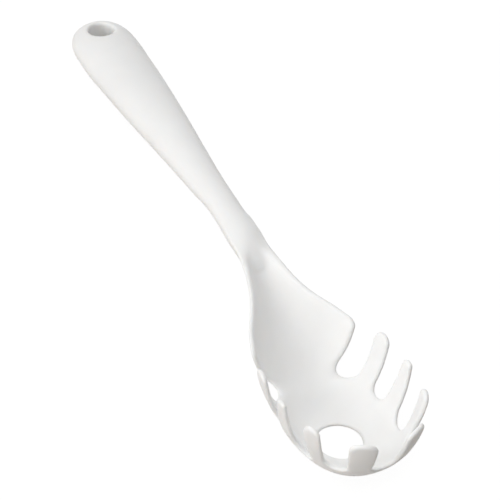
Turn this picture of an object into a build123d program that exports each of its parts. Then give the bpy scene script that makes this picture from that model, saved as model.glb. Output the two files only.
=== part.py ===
from build123d import *
from math import cos, dist, radians, sin
import os

# Pasta server: a soft silicone skin moulded over a stiff nylon core. It lies as it rests on a table,
# on the belly of the bowl and the underside of the handle's end. +X is across, +Y runs to the
# handle's end and +Z is up. The origin is the bottom centre of the whole part. While it is built,
# Y is measured from the bowl's centre, where the bowl is widest and deepest.

# Whole tool, millimetres
overall_length = 292.8
cut_overrun = 6.0

# Bowl: the wall stands on a rounded oval in plan, and curves under to the floor in section
bowl_half_width = 31.9
bowl_front_reach = 46.8
bowl_front_overhang = 1.2
bowl_back_reach = 94.0
bowl_top_level = 52.0
bowl_wall = 2.3
neck_floor_height = 23.0
plan_power = 2.25
front_section_power = 2.5
neck_section_power = 2.0

# Bowl behind its centre: share of the way to the neck, and there the half width, the floor's extra
# thickness and the change from the front section's shape to the neck's
neck_top_half_width = 9.8
neck_floor_thickening = 8.0
back_shares = (
    (0.10, 0.99, 0.0, 0.03),
    (0.21, 0.963, 0.0, 0.12),
    (0.32, 0.853, 0.0, 0.27),
    (0.43, 0.70, 0.0, 0.40),
    (0.53, 0.485, 0.03, 0.58),
    (0.64, 0.28, 0.10, 0.87),
    (0.75, 0.155, 0.22, 1.0),
    (0.85, 0.09, 0.47, 1.0),
    (0.96, 0.04, 0.76, 1.0),
    (1.04, 0.0, 1.0, 1.0),
)

# Wing's top edge, seen from the side: share of the way to the neck, share of the root's height
root_start_height = 27.4
wing_edge_shares = (
    (1.3, 1.07),
    (0.96, 1.075),
    (0.85, 1.08),
    (0.75, 1.066),
    (0.64, 1.018),
    (0.53, 0.975),
    (0.43, 0.973),
    (0.32, 0.984),
    (0.22, 0.985),
)

# Tines: radii as shares of the bowl's half width, and where each tip's round lies along the wall and
# up it, as shares of the bowl's half width and top level, seen square to the wall
side_tip_radius_share = 0.1567
second_tip_radius_share = 0.1285
third_tip_radius_share = 0.1458
front_tip_radius_share = 0.2022
tip_margin_share = 0.0627
tip_trim_clearance = 1.2
side_tip_share = (0.423, 0.562)
second_tip_share = (-0.180, 0.653)
third_tip_share = (-0.234, 0.730)
front_tip_share = (-0.293, 0.769)
third_tip_turn = -32.0
front_tip_turn = -62.0

# Slots: rounded bottom, tapering open to a wider mouth, with the same shares as the tines
slot_radius_share = 0.1693
side_slot_radius_share = 0.1411
side_slot_mouth_radius_share = 0.1912
wing_slot_mouth_radius_share = 0.1755
third_slot_mouth_radius_share = 0.2006
corner_slot_radius_share = 0.1630
corner_slot_mouth_radius_share = 0.2069
centre_slot_radius_share = 0.1787
centre_slot_mouth_radius_share = 0.2226
wing_slot_shares = (0.596, 0.237, 0.80, 0.654)
side_slot_shares = (0.022, 0.302, 0.147, 0.731)
third_slot_shares = (-0.580, 0.385, -0.414, 0.808)
corner_slot_shares = (-0.351, 0.521, -0.273, 0.846)
centre_slot_shares = (0.0, 0.554, 0.0, 0.962)
corner_slot_turn = -45.0
centre_slot_turn = -90.0
wing_corner_radius = 5.5

# Handle: oval sections on a gently falling line, from the neck to its widest station. Each row gives
# the share of the way there, and the shares of the growth in width, in thickness and of the fall
handle_half_width = 15.2
handle_half_thickness = 8.8
handle_end_height = 10.2
neck_middle_height = 26.8
neck_half_width = 6.9
neck_half_thickness = 5.1
neck_behind_bowl = 108.0
handle_shares = (
    (0.0, 0.0, 0.0, 0.0),
    (0.15, 0.12, 0.22, 0.17),
    (0.30, 0.285, 0.455, 0.31),
    (0.46, 0.49, 0.70, 0.455),
    (0.64, 0.71, 0.90, 0.64),
    (0.82, 0.885, 0.98, 0.825),
    (1.0, 1.0, 1.0, 1.0),
)

# Handle's round end, which droops a little towards the table
handle_end_round = 26.2
handle_end_droop = 3.6
end_round_shares = (0.30, 0.55, 0.75, 0.88, 0.96, 0.995)
end_round_power = 3.4

# Root: the handle's front end, which sinks into the thick floor behind the trough
root_start = 90.0
root_length = 18.0
root_height = 24.6
root_start_half_width = 7.2
root_start_half_thickness = 5.0
root_half_width = 6.0
root_half_thickness = 3.0
root_shares = (0.95, 0.85, 0.7, 0.5, 0.25, 0.0)

# Holes
hang_hole_radius = 5.9
hang_hole_setback = 11.2
drain_hole_radius = 10.0
drain_hole_forward = 10.6

# Core inside the skin
handle_skin = 1.8
bowl_skin = 0.65
core_edge_cover = 1.5
window_half_width = 3.6
window_half_length = 9.0
window_shares = (0.30, 0.48, 0.66, 0.84)
key_hole_radius = 1.5
key_hole_shares = (
    (0.0, 0.52),
    (0.28, 0.34),
    (-0.28, 0.34),
    (0.42, 0.16),
    (-0.42, 0.16),
    (0.45, -0.05),
    (-0.45, -0.05),
)

# Angles in degrees where the bowl's surface is drawn, across each section and along the front
front_turns = (85, 78, 69, 58, 45, 30, 15, 0)
section_turns = (-90, -79, -68, -56, -45, -34, -22, -11, 0, 11, 22, 34, 45, 56, 68, 79, 90)

handle_end = overall_length - bowl_front_reach + bowl_front_overhang
handle_widest = handle_end - handle_end_round
cut_height = bowl_top_level + 2 * cut_overrun
cut_reach = bowl_half_width + bowl_front_reach
side_tip_radius = side_tip_radius_share * bowl_half_width
second_tip_radius = second_tip_radius_share * bowl_half_width
third_tip_radius = third_tip_radius_share * bowl_half_width
front_tip_radius = front_tip_radius_share * bowl_half_width
tip_margin = tip_margin_share * bowl_half_width
slot_radius = slot_radius_share * bowl_half_width
side_slot_radius = side_slot_radius_share * bowl_half_width
side_slot_mouth_radius = side_slot_mouth_radius_share * bowl_half_width
wing_slot_mouth_radius = wing_slot_mouth_radius_share * bowl_half_width
third_slot_mouth_radius = third_slot_mouth_radius_share * bowl_half_width
corner_slot_radius = corner_slot_radius_share * bowl_half_width
corner_slot_mouth_radius = corner_slot_mouth_radius_share * bowl_half_width
centre_slot_radius = centre_slot_radius_share * bowl_half_width
centre_slot_mouth_radius = centre_slot_mouth_radius_share * bowl_half_width
tip_line_start = (side_tip_share[0] * bowl_half_width, side_tip_share[1] * bowl_top_level + side_tip_radius)
tip_line_end_height = front_tip_share[1] * bowl_top_level + front_tip_radius


def blend(first, last, share):
    """Value part of the way from one size to another."""
    return first + (last - first) * share


def section_outline(half_width, floor, power, ahead):
    """Points of the bowl's U in one section: a rounded oval in plan and in section."""
    top_half_width = half_width * (1 - ahead) ** (1 / plan_power)
    points = []
    for turn in section_turns:
        across = top_half_width * sin(radians(turn))
        plan = (abs(across) / half_width) ** plan_power + ahead
        drop = max(1 - plan ** (power / plan_power), 0) ** (1 / power)
        points.append((across, bowl_top_level - (bowl_top_level - floor) * drop))
    points[0] = (-top_half_width, bowl_top_level)
    points[-1] = (top_half_width, bowl_top_level)
    return points


def curve_spacing():
    """How far along its curve each point of a section lies, taken from the section at the centre."""
    points = section_outline(bowl_half_width, 0, front_section_power, 0)
    lengths = [0]
    for first, last in zip(points, points[1:]):
        lengths.append(lengths[-1] + dist(first, last))
    return [length / lengths[-1] for length in lengths]


def bowl_section(along, half_width, floor, power, reach):
    """Face of the bowl's hull at one station: the U, closed across the top."""
    ahead = (max(-along, 0) / reach) ** plan_power
    points = section_outline(half_width, floor, power, ahead)
    curve = Edge.make_spline(points, tangents=[(0, -1), (0, 1)], parameters=curve_spacing())
    top = Edge.make_line(points[-1], points[0])
    return Plane((0, along, 0), x_dir=(1, 0, 0), z_dir=(0, -1, 0)) * make_face([curve, top])


def bowl_hull(inset, trough):
    """Solid inside the bowl's surface, moved in by inset. A trough follows the thickened floor."""
    reach = bowl_front_reach - inset
    sections = []
    for turn in front_turns:
        along = -reach * sin(radians(turn))
        sections.append(bowl_section(along, bowl_half_width - inset, inset, front_section_power, reach))
    for way, width_share, thick_share, shape_share in back_shares:
        rise = 3 * way ** 2 - 2 * way ** 3 if way < 1 else 1
        floor = neck_floor_height * rise + inset
        if trough:
            floor += neck_floor_thickening * thick_share
        width = blend(neck_top_half_width, bowl_half_width, width_share) - inset
        power = blend(front_section_power, neck_section_power, shape_share)
        sections.append(bowl_section(way * bowl_back_reach, width, floor, power, reach))
    return loft(sections)


def wall_plane(turn):
    """Plane that faces the wall: X along the wall, Y up, Z outward. A turn of 0 faces +X."""
    outward = (cos(radians(turn)), sin(radians(turn)), 0)
    return Plane((0, 0, 0), x_dir=(-outward[1], outward[0], 0), z_dir=outward)


def slot_face(shares, bottom_radius, mouth_radius, margin):
    """A slot seen square to the wall: a round bottom that tapers open to its mouth."""
    bottom = (shares[0] * bowl_half_width, shares[1] * bowl_top_level)
    mouth = (shares[2] * bowl_half_width, shares[3] * bowl_top_level)
    rounds = (
        CenterArc(bottom, bottom_radius + margin, 0, 360),
        CenterArc(mouth, mouth_radius + margin, 0, 360),
    )
    return make_hull([edge for arc in rounds for edge in arc.edges()])


def tip_face(shares, radius, margin):
    """What lies above a tine's round tip, seen square to the wall."""
    centre = (shares[0] * bowl_half_width, shares[1] * bowl_top_level)
    height = cut_height - cut_overrun - centre[1]
    blank = Pos(centre[0], centre[1] + height / 2) * Rectangle(2 * (radius + tip_margin), height)
    return blank - Pos(*centre) * Circle(radius - margin)


def above_rim(margin):
    """What lies above the wings' edge and the line of the tips, seen from the side."""
    edge = [(way * bowl_back_reach, height * root_start_height - margin) for way, height in wing_edge_shares]
    slope = (tip_line_end_height - tip_line_start[1]) / (bowl_front_reach + tip_line_start[0])
    wing_end = edge[-1][0]
    front = -bowl_front_reach - cut_overrun
    lift = tip_trim_clearance - margin
    start = (wing_end, tip_line_start[1] + lift + slope * (tip_line_start[0] - wing_end))
    end = (front, tip_line_start[1] + lift + slope * (tip_line_start[0] - front))
    top = bowl_top_level + cut_overrun
    curve = Spline(edge, tangents=[(-1, 0), (-1, 0)])
    rest = Polyline(edge[-1], start, end, (front, top), (edge[0][0], top), edge[0])
    return make_face(curve.edges() + rest.edges())


def wing_front(height):
    """Place of the wings' front edge, which is the near side of the first slot, at a height."""
    bottom_place, bottom_height, mouth_place, mouth_height = wing_slot_shares
    fall = (mouth_height - bottom_height) * bowl_top_level
    run = (mouth_place - bottom_place) * bowl_half_width
    way = (height - bottom_height * bowl_top_level) / fall
    stretch = (fall ** 2 + run ** 2) ** 0.5 / fall
    middle = blend(bottom_place, mouth_place, way) * bowl_half_width
    return middle + blend(slot_radius, wing_slot_mouth_radius, way) * stretch


def wing_corner(margin):
    """What lies outside the round of the wings' front corners, seen from the side."""
    height = wing_edge_shares[-2][1] * root_start_height
    centre_height = height - wing_corner_radius
    edge = wing_front(centre_height)
    blank = Pos(edge, height) * Rectangle(2 * wing_corner_radius, 2 * wing_corner_radius)
    return blank - Pos(edge + wing_corner_radius, centre_height) * Circle(wing_corner_radius - margin)


def side_cutter(margin):
    """All that is cut straight across the bowl: the open top, the side slots and the side tips."""
    face = above_rim(margin)
    slots = (
        (wing_slot_shares, slot_radius, wing_slot_mouth_radius),
        (side_slot_shares, side_slot_radius, side_slot_mouth_radius),
        (third_slot_shares, slot_radius, third_slot_mouth_radius),
    )
    for shares, bottom_radius, mouth_radius in slots:
        face += slot_face(shares, bottom_radius, mouth_radius, margin)
    for shares, radius in ((side_tip_share, side_tip_radius), (second_tip_share, second_tip_radius)):
        face += tip_face(shares, radius, margin)
    face += wing_corner(margin)
    return extrude(wall_plane(0) * face, amount=cut_reach, both=True)


def corner_cutters(margin):
    """What is cut square to the wall round the bowl's front, a pair for each turn."""
    faces = (
        (corner_slot_turn, slot_face(corner_slot_shares, corner_slot_radius, corner_slot_mouth_radius, margin)),
        (third_tip_turn, tip_face(third_tip_share, third_tip_radius, margin)),
        (front_tip_turn, tip_face(front_tip_share, front_tip_radius, margin)),
    )
    cutters = []
    for turn, face in faces:
        cutter = extrude(wall_plane(turn) * face, amount=cut_reach)
        cutters.append(cutter)
        cutters.append(mirror(cutter, about=Plane.YZ))
    return cutters


def centre_cutter(margin):
    """The slot at the middle of the front."""
    face = slot_face(centre_slot_shares, centre_slot_radius, centre_slot_mouth_radius, margin)
    return extrude(wall_plane(centre_slot_turn) * face, amount=cut_reach)


def upright_hole(radius, along, across=0.0):
    """A round cutter that runs straight up through the whole tool."""
    return Pos(across, along, cut_height / 2 - cut_overrun) * Cylinder(radius, cut_height)


def bowl(inset, thickness, margin):
    """Open bowl with its slots and drain hole, every edge drawn back by margin."""
    shell = bowl_hull(inset, False) - bowl_hull(inset + thickness, True)
    drain = upright_hole(drain_hole_radius + margin, -drain_hole_forward)
    return shell - [side_cutter(margin), *corner_cutters(margin), centre_cutter(margin), drain]


def oval(along, height, half_width, half_thickness):
    """Oval section of the handle at one station."""
    plane = Plane((0, along, height), x_dir=(1, 0, 0), z_dir=(0, -1, 0))
    return plane * Ellipse(half_width, half_thickness)


def handle(inset):
    """Handle with its rounded end, its hanging hole and its root in the neck, moved in by inset."""
    sections = []
    for share in root_shares:
        along = root_start - root_length * share
        height = blend(root_start_height, root_height, share ** 2)
        half_width = blend(root_start_half_width, root_half_width, share ** 2) - inset
        half_thickness = blend(root_start_half_thickness, root_half_thickness, share ** 2) - inset
        fade = (1 - share ** 2) ** 0.5
        sections.append(oval(along, height, half_width * fade, half_thickness * fade))
    for way, width_share, thickness_share, fall_share in handle_shares:
        along = blend(neck_behind_bowl, handle_widest, way)
        height = blend(neck_middle_height, handle_end_height, fall_share)
        half_width = blend(neck_half_width, handle_half_width, width_share) - inset
        half_thickness = blend(neck_half_thickness, handle_half_thickness, thickness_share) - inset
        sections.append(oval(along, height, half_width, half_thickness))
    for share in end_round_shares:
        along = handle_widest + (handle_end_round - inset) * share
        height = handle_end_height - handle_end_droop * share
        fade = (1 - share ** end_round_power) ** 0.5
        half_width = (handle_half_width - inset) * fade
        half_thickness = (handle_half_thickness - inset) * fade
        sections.append(oval(along, height, half_width, half_thickness))
    return loft(sections) - upright_hole(hang_hole_radius + inset, handle_end - hang_hole_setback)


def core_windows():
    """Long windows through the core's bar, where the skin's two faces join and lock onto it."""
    window = SlotOverall(2 * window_half_length, 2 * window_half_width, rotation=90)
    cutters = []
    for way in window_shares:
        place = blend(neck_behind_bowl, handle_widest, way)
        cutters.append(extrude(Pos(0, place, -cut_overrun) * window, amount=cut_height))
    return cutters


def key_holes():
    """Small round holes through the core's bowl, where the skin's two faces join."""
    cutters = []
    for across_share, along_share in key_hole_shares:
        along = along_share * bowl_back_reach
        cutters.append(upright_hole(key_hole_radius, along, across_share * bowl_half_width))
    return cutters


whole_tool = bowl(0, bowl_wall, 0) + handle(0)
nylon_core = bowl(bowl_skin, bowl_wall - 2 * bowl_skin, core_edge_cover) + handle(handle_skin)
nylon_core -= core_windows() + key_holes()
silicone_skin = whole_tool - nylon_core

box = whole_tool.bounding_box()
to_origin = Pos(0, -(box.min.Y + box.max.Y) / 2, -box.min.Z)
os.makedirs("parts", exist_ok=True)
for name, piece in (("silicone_skin", silicone_skin), ("nylon_core", nylon_core)):
    placed = to_origin * piece
    solids = placed.solids()
    export_step(solids[0] if len(solids) == 1 else Compound(solids), "parts/" + name + ".step")
    print(name, len(solids), round(placed.volume))
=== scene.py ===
import math

import bpy
import numpy as np
from mathutils import Matrix, Vector


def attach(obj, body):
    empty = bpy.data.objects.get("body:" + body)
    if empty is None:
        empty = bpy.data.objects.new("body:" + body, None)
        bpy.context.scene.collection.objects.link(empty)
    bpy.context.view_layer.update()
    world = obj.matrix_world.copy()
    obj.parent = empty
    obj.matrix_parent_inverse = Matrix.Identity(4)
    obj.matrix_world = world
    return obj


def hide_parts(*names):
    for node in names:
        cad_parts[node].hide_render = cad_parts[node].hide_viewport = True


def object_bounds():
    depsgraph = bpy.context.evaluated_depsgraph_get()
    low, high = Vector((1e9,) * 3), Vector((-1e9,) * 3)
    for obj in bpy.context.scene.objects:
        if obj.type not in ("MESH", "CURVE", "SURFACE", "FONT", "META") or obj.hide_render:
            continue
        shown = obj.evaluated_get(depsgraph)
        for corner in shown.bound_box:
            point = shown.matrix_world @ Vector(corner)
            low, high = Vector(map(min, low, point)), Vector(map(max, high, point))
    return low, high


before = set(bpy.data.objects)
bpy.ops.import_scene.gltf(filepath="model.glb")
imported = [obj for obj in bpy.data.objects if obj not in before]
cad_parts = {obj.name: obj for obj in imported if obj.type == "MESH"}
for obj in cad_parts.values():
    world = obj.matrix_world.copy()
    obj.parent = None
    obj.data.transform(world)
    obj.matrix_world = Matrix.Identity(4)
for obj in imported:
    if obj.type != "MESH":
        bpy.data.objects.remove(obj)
cad_low, cad_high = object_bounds()

# The skin's visible surface is drawn as a signed field in millimetres, negative inside the material,
# and then meshed. Y is measured from the bowl's centre, as in the part's source, with the same sizes.

# Bowl
overall_length = 292.8
bowl_half_width = 31.9
bowl_front_reach = 46.8
bowl_front_overhang = 1.2
bowl_back_reach = 94.0
bowl_top_level = 52.0
bowl_wall = 2.3
neck_floor_height = 23.0
plan_power = 2.25
front_section_power = 2.5
neck_section_power = 2.0

neck_top_half_width = 9.8
neck_floor_thickening = 8.0
# Share of the way to the neck, and there the shares of half width, extra floor and section shape
back_shares = (
    (0.0, 1.0, 0.0, 0.0),
    (0.10, 0.99, 0.0, 0.03),
    (0.21, 0.963, 0.0, 0.12),
    (0.32, 0.853, 0.0, 0.27),
    (0.43, 0.70, 0.0, 0.40),
    (0.53, 0.485, 0.03, 0.58),
    (0.64, 0.28, 0.10, 0.87),
    (0.75, 0.155, 0.22, 1.0),
    (0.85, 0.09, 0.47, 1.0),
    (0.96, 0.04, 0.76, 1.0),
    (1.04, 0.0, 1.0, 1.0),
)

# Wing's top edge, from the neck forward: share of the way to the neck, share of the root's height
root_start_height = 27.4
wing_edge_shares = (
    (1.3, 1.07),
    (0.96, 1.075),
    (0.85, 1.08),
    (0.75, 1.066),
    (0.64, 1.018),
    (0.53, 0.975),
    (0.43, 0.973),
    (0.32, 0.984),
    (0.22, 0.985),
)

# Tines and slots, seen square to the wall. A tip's shares are its centre's place over the bowl's half
# width and its height over the bowl's top. A slot's shares give its bottom and its mouth that way.
side_tip_radius = 5.0
second_tip_radius = 4.1
third_tip_radius = 4.65
front_tip_radius = 6.45
tip_trim_clearance = 1.2
tip_margin = 2.0
side_tip_share = (0.423, 0.562)
second_tip_share = (-0.180, 0.653)
third_tip_share = (-0.234, 0.730)
front_tip_share = (-0.293, 0.769)
front_tip_power = 2.5
third_tip_turn = -32.0
front_tip_turn = -62.0
slot_radius = 5.4
side_slot_radius = 4.5
side_slot_mouth_radius = 6.1
wing_slot_mouth_radius = 5.6
third_slot_mouth_radius = 6.4
corner_slot_radius = 5.2
corner_slot_mouth_radius = 6.6
centre_slot_radius = 5.7
centre_slot_mouth_radius = 7.1
wing_slot_shares = (0.596, 0.237, 0.80, 0.654)
side_slot_shares = (0.022, 0.302, 0.147, 0.731)
third_slot_shares = (-0.580, 0.385, -0.414, 0.808)
corner_slot_shares = (-0.351, 0.521, -0.273, 0.846)
centre_slot_shares = (0.0, 0.554, 0.0, 0.962)
corner_slot_turn = -45.0
wing_corner_radius = 5.5

# Handle
handle_half_width = 15.2
handle_half_thickness = 8.8
handle_end_height = 10.2
neck_middle_height = 26.8
neck_half_width = 6.9
neck_half_thickness = 5.1
neck_behind_bowl = 108.0
# Share of the way to its widest station, then of the width, of the thickness and of the fall
handle_shares = (
    (0.0, 0.0, 0.0, 0.0),
    (0.15, 0.12, 0.22, 0.17),
    (0.30, 0.285, 0.455, 0.31),
    (0.46, 0.49, 0.70, 0.455),
    (0.64, 0.71, 0.90, 0.64),
    (0.82, 0.885, 0.98, 0.825),
    (1.0, 1.0, 1.0, 1.0),
)
handle_end_round = 26.2
handle_end_droop = 3.6
handle_last_share = 0.995
end_round_power = 3.4
# The root runs forward from its start, inside the neck, and thins towards the second set of sizes
root_start = 90.0
root_length = 18.0
root_height = 24.6
root_start_half_width = 7.2
root_start_half_thickness = 5.0
root_half_width = 6.0
root_half_thickness = 3.0

# Holes
hang_hole_radius = 5.9
hang_hole_setback = 11.2
drain_hole_radius = 10.0
drain_hole_forward = 10.6
drain_hole_depth = 20.0

# How far the moulded edges are rounded over
lip_round = 1.2
edge_round = 1.6
rim_blend = 3.0
root_blend = 3.0
drain_round = 1.4
hang_round = 2.2

handle_end = overall_length - bowl_front_reach + bowl_front_overhang
handle_widest = handle_end - handle_end_round
wing_end = wing_edge_shares[-1][0] * bowl_back_reach


def blend(first, last, share):
    return first + (last - first) * share


def soft_max(a, b, radius):
    """Larger of two fields, with the corner between them rounded over."""
    near = np.maximum(radius - np.abs(a - b), 0) / radius
    return np.maximum(a, b) + near * near * radius * 0.25


def soft_min(a, b, radius):
    return -soft_max(-a, -b, radius)


def curve(rows, column, at):
    """Smooth curve that never overshoots, through one column of a table."""
    rows = sorted(rows)
    xs = np.array([row[0] for row in rows], float)
    ys = np.array([row[column] for row in rows], float)
    h = np.diff(xs)
    rise = np.diff(ys) / h
    slope = np.zeros_like(ys)
    for i in range(1, len(xs) - 1):
        if rise[i - 1] * rise[i] > 0:
            near, far = 2 * h[i] + h[i - 1], h[i] + 2 * h[i - 1]
            slope[i] = (near + far) / (near / rise[i - 1] + far / rise[i])
    at = np.clip(at, xs[0], xs[-1])
    i = np.clip(np.searchsorted(xs, at) - 1, 0, len(xs) - 2)
    t = (at - xs[i]) / h[i]
    value = (2 * t ** 3 - 3 * t ** 2 + 1) * ys[i] + (t ** 3 - 2 * t ** 2 + t) * h[i] * slope[i]
    value += (3 * t ** 2 - 2 * t ** 3) * ys[i + 1] + (t ** 3 - t ** 2) * h[i] * slope[i + 1]
    return value.astype(np.float32)


def distance(field, step):
    """Field scaled by its own slope, so that near its surface it is a distance."""
    steep = np.sqrt(sum(g * g for g in np.gradient(field, step)))
    return field / np.maximum(steep, 1e-3)


def hull(x, y, z, inset, trough):
    """Bowl's surface, moved in by inset. A trough follows the thickened floor."""
    way = y / bowl_back_reach
    t = np.clip(way, 0, 1)
    floor = neck_floor_height * (3 * t ** 2 - 2 * t ** 3) + inset
    if trough:
        floor = floor + neck_floor_thickening * curve(back_shares, 2, way)
    width = blend(neck_top_half_width, bowl_half_width, curve(back_shares, 1, way)) - inset
    power = blend(front_section_power, neck_section_power, curve(back_shares, 3, way))
    ahead = np.maximum(-y, 0) / (bowl_front_reach - inset)
    plan = (np.abs(x) / width) ** plan_power + ahead ** plan_power
    drop = np.maximum(bowl_top_level - z, 0) / (bowl_top_level - floor)
    return (plan ** (power / plan_power) + drop ** power) ** (1 / power) - 1


def slot(u, v, shares, bottom_radius, mouth_radius):
    """A slot seen square to the wall: a round bottom that tapers open to its mouth."""
    u0, v0 = shares[0] * bowl_half_width, shares[1] * bowl_top_level
    u1, v1 = shares[2] * bowl_half_width, shares[3] * bowl_top_level
    long = math.hypot(u1 - u0, v1 - v0)
    du, dv = (u1 - u0) / long, (v1 - v0) / long
    across = np.abs((u - u0) * dv - (v - v0) * du)
    along = (u - u0) * du + (v - v0) * dv
    lean = (bottom_radius - mouth_radius) / long
    upright = math.sqrt(1 - lean * lean)
    k = upright * along - lean * across
    side = across * upright + along * lean - bottom_radius
    side = np.where(k < 0, np.hypot(across, along) - bottom_radius, side)
    return np.where(k > upright * long, np.hypot(across, along - long) - mouth_radius, side)


def block(u, v, u0, u1, v0, v1):
    return np.maximum(np.maximum(u0 - u, u - u1), np.maximum(v0 - v, v - v1))


def tip(u, v, shares, radius, power=2.0):
    """What lies above a tine's round tip. A greater power makes its corners squarer."""
    u0, v0 = shares[0] * bowl_half_width, shares[1] * bowl_top_level
    reach = radius + tip_margin
    blank = block(u, v, u0 - reach, u0 + reach, v0, v0 + 2 * radius + tip_trim_clearance)
    away = (np.abs(u - u0) ** power + np.abs(v - v0) ** power) ** (1 / power)
    return np.maximum(blank, radius - away)


def above_rim(y, z):
    """What lies above the wings' edge and the line of the tips, seen from the side."""
    edge = [(way * bowl_back_reach, share * root_start_height) for way, share in wing_edge_shares]
    start = side_tip_share[0] * bowl_half_width
    first_top = side_tip_share[1] * bowl_top_level + side_tip_radius
    last_top = front_tip_share[1] * bowl_top_level + front_tip_radius
    slope = (last_top - first_top) / (bowl_front_reach + start)
    over_tips = np.maximum(first_top + tip_trim_clearance + slope * (start - y) - z, y - wing_end)
    over_wings = np.maximum(curve(edge, 1, y) - z, wing_end - y)
    return np.minimum(over_tips, over_wings)


def wing_corner(y, z):
    """What lies outside the round of the wings' front corners."""
    bottom_place, bottom_height, mouth_place, mouth_height = wing_slot_shares
    fall = (mouth_height - bottom_height) * bowl_top_level
    run = (mouth_place - bottom_place) * bowl_half_width
    height = wing_edge_shares[-2][1] * root_start_height
    middle = height - wing_corner_radius
    way = (middle - bottom_height * bowl_top_level) / fall
    front = blend(bottom_place, mouth_place, way) * bowl_half_width
    front += blend(slot_radius, wing_slot_mouth_radius, way) * math.hypot(fall, run) / fall
    r = wing_corner_radius
    blank = block(y, z, front - r, front + r, middle, height + r)
    return np.maximum(blank, r - np.hypot(y - front - r, z - middle))


def turned(x, y, turn):
    """Places along the wall and out of it, where the wall faces the given turn."""
    c, s = math.cos(math.radians(turn)), math.sin(math.radians(turn))
    return c * y - s * np.abs(x), c * np.abs(x) + s * y


def cut_away(x, y, z):
    """Negative in the open top, in the slots and above the tines' tips."""
    flat = np.minimum(above_rim(y, z), wing_corner(y, z))
    for shares, bottom, mouth in (
        (wing_slot_shares, slot_radius, wing_slot_mouth_radius),
        (side_slot_shares, side_slot_radius, side_slot_mouth_radius),
        (third_slot_shares, slot_radius, third_slot_mouth_radius),
    ):
        flat = np.minimum(flat, slot(y, z, shares, bottom, mouth))
    for shares, radius in ((side_tip_share, side_tip_radius), (second_tip_share, second_tip_radius)):
        flat = np.minimum(flat, tip(y, z, shares, radius))
    u, out = turned(x, y, corner_slot_turn)
    corner = slot(u, z, corner_slot_shares, corner_slot_radius, corner_slot_mouth_radius)
    cut = np.minimum(flat, np.maximum(corner, -out))
    u, out = turned(x, y, third_tip_turn)
    cut = np.minimum(cut, np.maximum(tip(u, z, third_tip_share, third_tip_radius), -out))
    u, out = turned(x, y, front_tip_turn)
    front = tip(u, z, front_tip_share, front_tip_radius, front_tip_power)
    cut = np.minimum(cut, np.maximum(front, -out))
    centre = slot(x, z, centre_slot_shares, centre_slot_radius, centre_slot_mouth_radius)
    return np.minimum(cut, np.maximum(centre, y))


def handle(x, y, z, step):
    """Handle with its root in the neck and its round, drooping end."""
    rows = []
    for share in np.linspace(0.125, 1, 8):
        rows.append((
            root_start - root_length * share,
            blend(root_start_height, root_height, share ** 2),
            blend(root_start_half_width, root_half_width, share ** 2),
            blend(root_start_half_thickness, root_half_thickness, share ** 2),
        ))
    rows.append((root_start, root_start_height, root_start_half_width, root_start_half_thickness))
    for way, wide, thick, fall in handle_shares:
        rows.append((
            blend(neck_behind_bowl, handle_widest, way),
            blend(neck_middle_height, handle_end_height, fall),
            blend(neck_half_width, handle_half_width, wide),
            blend(neck_half_thickness, handle_half_thickness, thick),
        ))
    rows.append((handle_end, handle_end_height, handle_half_width, handle_half_thickness))
    middle, half_width, half_thickness = (curve(rows, column, y) for column in (1, 2, 3))
    end = np.maximum(y - handle_widest, 0) / handle_end_round
    start = np.maximum(root_start - y, 0) / root_length
    middle = middle - handle_end_droop * end
    oval = (x / half_width) ** 2 + ((z - middle) / half_thickness) ** 2
    return distance(np.sqrt(oval + end ** end_round_power + start ** 2) - 1, step)


def whole_tool(step):
    """Signed field of the whole tool and its lowest corner. One half is worked out and mirrored."""
    xs = np.arange(-1, math.ceil((bowl_half_width + 2) / step), dtype=np.float32) * step
    ys = np.arange(-bowl_front_reach - 2, handle_end + 2, step, dtype=np.float32)
    zs = np.arange(-2, bowl_top_level, step, dtype=np.float32)
    x, y, z = xs[:, None, None], ys[None, :, None], zs[None, None, :]
    outer = distance(hull(x, y, z, 0.0, False), step)
    inner = np.maximum(distance(hull(x, y, z, bowl_wall, True), step), outer + bowl_wall)
    solid = soft_max(outer, -inner, lip_round)
    solid = soft_max(solid, -cut_away(x, y, z), edge_round)
    solid = soft_max(solid, y - back_shares[-1][0] * bowl_back_reach, rim_blend)
    solid = soft_min(handle(x, y, z, step), solid, root_blend)
    drain = np.maximum(np.hypot(x, y + drain_hole_forward) - drain_hole_radius, z - drain_hole_depth)
    solid = soft_max(solid, -drain, drain_round)
    hang = np.hypot(x, y - handle_end + hang_hole_setback) - hang_hole_radius
    solid = soft_max(solid, -hang, hang_round)
    field = np.concatenate((solid[:1:-1], solid[1:]))
    return field.astype(np.float32), np.array((-xs[-1], ys[0], zs[0]))


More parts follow.
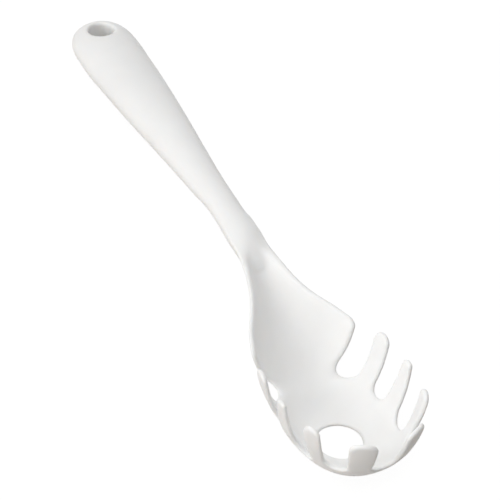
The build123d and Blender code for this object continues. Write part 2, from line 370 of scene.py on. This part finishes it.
def surface(field):
    """Points and quads of the field's zero surface, in cells: one point in each cell that it crosses,
    moved onto the surface along the field's slope."""
    cells = np.array(field.shape) - 1
    total = np.zeros((int(cells.prod()), 4))
    quads = []
    inside = field < 0
    for axis in range(3):
        near = [slice(None)] * 3
        far = [slice(None)] * 3
        near[axis], far[axis] = slice(None, -1), slice(1, None)
        crossed = inside[tuple(near)] != inside[tuple(far)]
        start = np.argwhere(crossed)
        first, last = field[tuple(near)][crossed], field[tuple(far)][crossed]
        point = start.astype(float)
        point[:, axis] += first / (first - last)
        one, two = (axis + 1) % 3, (axis + 2) % 3
        ring = []
        for a, b in ((0, 0), (-1, 0), (-1, -1), (0, -1)):
            cell = start.copy()
            cell[:, one] += a
            cell[:, two] += b
            index = np.ravel_multi_index(cell.T, cells)
            ring.append(index)
            for k in range(3):
                total[:, k] += np.bincount(index, point[:, k], len(total))
            total[:, 3] += np.bincount(index, minlength=len(total))
        ring = np.stack(ring, 1)
        leaving = first < 0
        quads.append(ring[leaving])
        quads.append(ring[~leaving][:, ::-1])
    used = np.flatnonzero(total[:, 3])
    points = total[used, :3] / total[used, 3:]
    number = np.zeros(len(total), int)
    number[used] = np.arange(len(used))
    for _ in range(3):
        value, slope = sample(field, points)
        points -= slope * np.clip(value / np.maximum((slope ** 2).sum(1), 1e-6), -0.5, 0.5)[:, None]
    return points, number[np.concatenate(quads)]


def sample(field, points):
    """Field and slope at points, in line between the eight corners of each point's cell."""
    base = np.clip(points.astype(int), 0, np.array(field.shape) - 2)
    t = points - base
    value = np.zeros(len(points))
    slope = np.zeros((len(points), 3))
    for corner in np.ndindex(2, 2, 2):
        at = field[tuple((base + corner).T)]
        part = np.where(corner, t, 1 - t)
        value += at * part.prod(1)
        for k in range(3):
            others = [m for m in range(3) if m != k]
            slope[:, k] += at * part[:, others].prod(1) * (1 if corner[k] else -1)
    return value, slope


def mesh_piece(name, points, quads):
    mesh = bpy.data.meshes.new(name)
    mesh.from_pydata(points.tolist(), [], quads.tolist())
    mesh.polygons.foreach_set("use_smooth", [True] * len(mesh.polygons))
    piece = bpy.data.objects.new(name, mesh)
    bpy.context.scene.collection.objects.link(piece)
    return piece


fine_step = 0.62
step = fine_step
field, corner = whole_tool(step)
points, quads = surface(field)
points = points * step + corner
# The solid's handle stops a hair short of the field's, at its last loft section
cad_end = handle_widest + handle_end_round * handle_last_share
points[:, 1] += cad_high.y * 1000 - cad_end
skin = mesh_piece("skin_surface", points / 1000, quads)
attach(skin, "root")
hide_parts("silicone_skin")


# Materials
def new_material(name):
    material = bpy.data.materials.new(name)
    material.use_nodes = True
    nodes = material.node_tree.nodes
    nodes.clear()
    return material, nodes, material.node_tree.links


def noise(nodes, links, where, scale, detail):
    """Noise at a real size: scale is the number of its lumps in a metre."""
    node = nodes.new("ShaderNodeTexNoise")
    node.inputs["Scale"].default_value = scale
    node.inputs["Detail"].default_value = detail
    links.new(where, node.inputs["Vector"])
    return node.outputs["Fac"]


def spread(nodes, links, value, low, high):
    node = nodes.new("ShaderNodeMapRange")
    node.inputs["From Min"].default_value = 0.3
    node.inputs["From Max"].default_value = 0.7
    node.inputs["To Min"].default_value = low
    node.inputs["To Max"].default_value = high
    links.new(value, node.inputs["Value"])
    return node.outputs["Result"]


def moulded(name, low_colour, high_colour, rough, grain_height, wave_height):
    """Moulded material: mottled a little, with a fine grain from the mould and a shallow waviness."""
    material, nodes, links = new_material(name)
    where = nodes.new("ShaderNodeTexCoord").outputs["Object"]
    shader = nodes.new("ShaderNodeBsdfPrincipled")
    out = nodes.new("ShaderNodeOutputMaterial")
    links.new(shader.outputs["BSDF"], out.inputs["Surface"])
    mottle = noise(nodes, links, where, 55, 4)
    mix = nodes.new("ShaderNodeMix")
    mix.data_type = "RGBA"
    mix.inputs[6].default_value = (*low_colour, 1)
    mix.inputs[7].default_value = (*high_colour, 1)
    links.new(spread(nodes, links, mottle, 0, 1), mix.inputs[0])
    links.new(mix.outputs[2], shader.inputs["Base Color"])
    bloom = noise(nodes, links, where, 240, 3)
    links.new(spread(nodes, links, bloom, *rough), shader.inputs["Roughness"])
    normal = None
    for scale, detail, height in ((260, 2, wave_height), (4200, 3, grain_height)):
        bump = nodes.new("ShaderNodeBump")
        bump.inputs["Strength"].default_value = 1
        bump.inputs["Distance"].default_value = height
        links.new(noise(nodes, links, where, scale, detail), bump.inputs["Height"])
        if normal is not None:
            links.new(normal, bump.inputs["Normal"])
        normal = bump.outputs["Normal"]
    links.new(normal, shader.inputs["Normal"])
    return material, shader


silicone, shader = moulded(
    "silicone", (0.865, 0.864, 0.856), (0.89, 0.889, 0.882), (0.50, 0.60), 0.00001, 0.00002
)
shader.inputs["IOR"].default_value = 1.41
shader.inputs["Sheen Weight"].default_value = 0.08
shader.inputs["Sheen Roughness"].default_value = 0.4
shader.inputs["Subsurface Weight"].default_value = 0.35
shader.inputs["Subsurface Radius"].default_value = (1.0, 0.9, 0.8)
shader.inputs["Subsurface Scale"].default_value = 0.002
skin.data.materials.append(silicone)

nylon, shader = moulded(
    "nylon", (0.70, 0.69, 0.64), (0.76, 0.75, 0.71), (0.45, 0.55), 0.00001, 0.00001
)
shader.inputs["IOR"].default_value = 1.53
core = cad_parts["nylon_core"]
core.data.materials.clear()
core.data.materials.append(nylon)


# Floor and world: the camera sees them white, and the floor keeps a faint shadow. For other light the
# floor is a warm grey, which gives the undersides their brown.
def seen_directly(nodes, links):
    """1 for the camera and for what it sees mirrored or through something, 0 for diffuse light."""
    path = nodes.new("ShaderNodeLightPath")
    value = path.outputs["Is Camera Ray"]
    for other in ("Is Glossy Ray", "Is Transmission Ray"):
        join = nodes.new("ShaderNodeMath")
        join.operation = "MAXIMUM"
        links.new(value, join.inputs[0])
        links.new(path.outputs[other], join.inputs[1])
        value = join.outputs[0]
    return value


white_material, nodes, links = new_material("floor_white")
out = nodes.new("ShaderNodeOutputMaterial")
pale = nodes.new("ShaderNodeBsdfDiffuse")
pale.inputs["Color"].default_value = (0.52, 0.48, 0.44, 1)
white = nodes.new("ShaderNodeEmission")
white.inputs["Strength"].default_value = 0.93
shaded = nodes.new("ShaderNodeBsdfDiffuse")
shaded.inputs["Color"].default_value = (0.12, 0.12, 0.12, 1)
mostly_white = nodes.new("ShaderNodeAddShader")
links.new(white.outputs[0], mostly_white.inputs[0])
links.new(shaded.outputs[0], mostly_white.inputs[1])
choose = nodes.new("ShaderNodeMixShader")
links.new(seen_directly(nodes, links), choose.inputs["Fac"])
links.new(pale.outputs[0], choose.inputs[1])
links.new(mostly_white.outputs[0], choose.inputs[2])
links.new(choose.outputs[0], out.inputs["Surface"])

floor_half = 3.0
floor_drop = 0.0003
floor_points = np.array(((-1, -1, 0), (1, -1, 0), (1, 1, 0), (-1, 1, 0))) * floor_half
floor_points[:, 2] = -floor_drop
floor = mesh_piece("floor", floor_points, np.array(((0, 1, 2, 3),)))
floor.data.materials.append(white_material)

# The room's light: soft light from above, from behind the tool and from its left
room_light = ((0.0, 0.0, 0.39), (0.0, 0.42, 0.0), (-0.2, 0.0, 0.0))
world = bpy.data.worlds.new("studio")
bpy.context.scene.world = world
world.use_nodes = True
nodes, links = world.node_tree.nodes, world.node_tree.links
nodes.clear()
out = nodes.new("ShaderNodeOutputWorld")
ray = nodes.new("ShaderNodeTexCoord").outputs["Generated"]
total = None
for direction in room_light:
    towards = nodes.new("ShaderNodeVectorMath")
    towards.operation = "DOT_PRODUCT"
    towards.inputs[1].default_value = direction
    links.new(ray, towards.inputs[0])
    facing = nodes.new("ShaderNodeMath")
    facing.operation = "MAXIMUM"
    facing.inputs[1].default_value = 0
    links.new(towards.outputs["Value"], facing.inputs[0])
    if total is None:
        total = facing.outputs[0]
    else:
        add = nodes.new("ShaderNodeMath")
        links.new(total, add.inputs[0])
        links.new(facing.outputs[0], add.inputs[1])
        total = add.outputs[0]
ambient = nodes.new("ShaderNodeBackground")
ambient.inputs["Color"].default_value = (1.0, 1.0, 1.0, 1)
links.new(total, ambient.inputs["Strength"])
backdrop = nodes.new("ShaderNodeBackground")
backdrop.inputs["Strength"].default_value = 1
choose = nodes.new("ShaderNodeMixShader")
links.new(seen_directly(nodes, links), choose.inputs["Fac"])
links.new(ambient.outputs[0], choose.inputs[1])
links.new(backdrop.outputs[0], choose.inputs[2])
links.new(choose.outputs[0], out.inputs["Surface"])

# Lamps: where each one is seen from the tool's middle (turn from +X and height, in degrees), its
# distance and width in metres and its power in watts
tool_middle = Vector((0.0, -0.02, 0.015))
lamps = (
    ("key", 180, 40, 1.7, 0.8, 3.0),
    ("low key", 180, 15, 1.7, 0.8, 7.0),
    ("low front", 215, 20, 1.7, 0.8, 2.6),
    ("front", 236, 65, 0.7, 0.38, 1.36),
    ("back", 135, 40, 1.7, 0.8, 2.2),
    ("right", 40, 25, 1.7, 0.8, 5.8),
)
for name, turn, height, reach, width, power in lamps:
    light = bpy.data.lights.new(name, "AREA")
    light.size = width
    light.energy = power
    lamp = bpy.data.objects.new(name, light)
    bpy.context.scene.collection.objects.link(lamp)
    a, e = math.radians(turn), math.radians(height)
    away = Vector((math.cos(a) * math.cos(e), math.sin(a) * math.cos(e), math.sin(e)))
    lamp.location = tool_middle + away * reach
    lamp.rotation_euler = away.to_track_quat("Z", "Y").to_euler()

# Camera at the photograph's viewing angle, from the fit to its outline
data = bpy.data.cameras.new("camera")
data.sensor_width = 36
data.lens = 211.5
data.clip_end = 20
camera = bpy.data.objects.new("camera", data)
bpy.context.scene.collection.objects.link(camera)
camera.matrix_world = Matrix((
    (0.88795, 0.25911, -0.38001, -0.48541),
    (-0.44087, 0.71494, -0.54268, -0.71175),
    (0.13107, 0.64941, 0.74906, 0.98294),
    (0, 0, 0, 1),
))
bpy.context.scene.camera = camera
bpy.context.scene.view_settings.view_transform = "Standard"
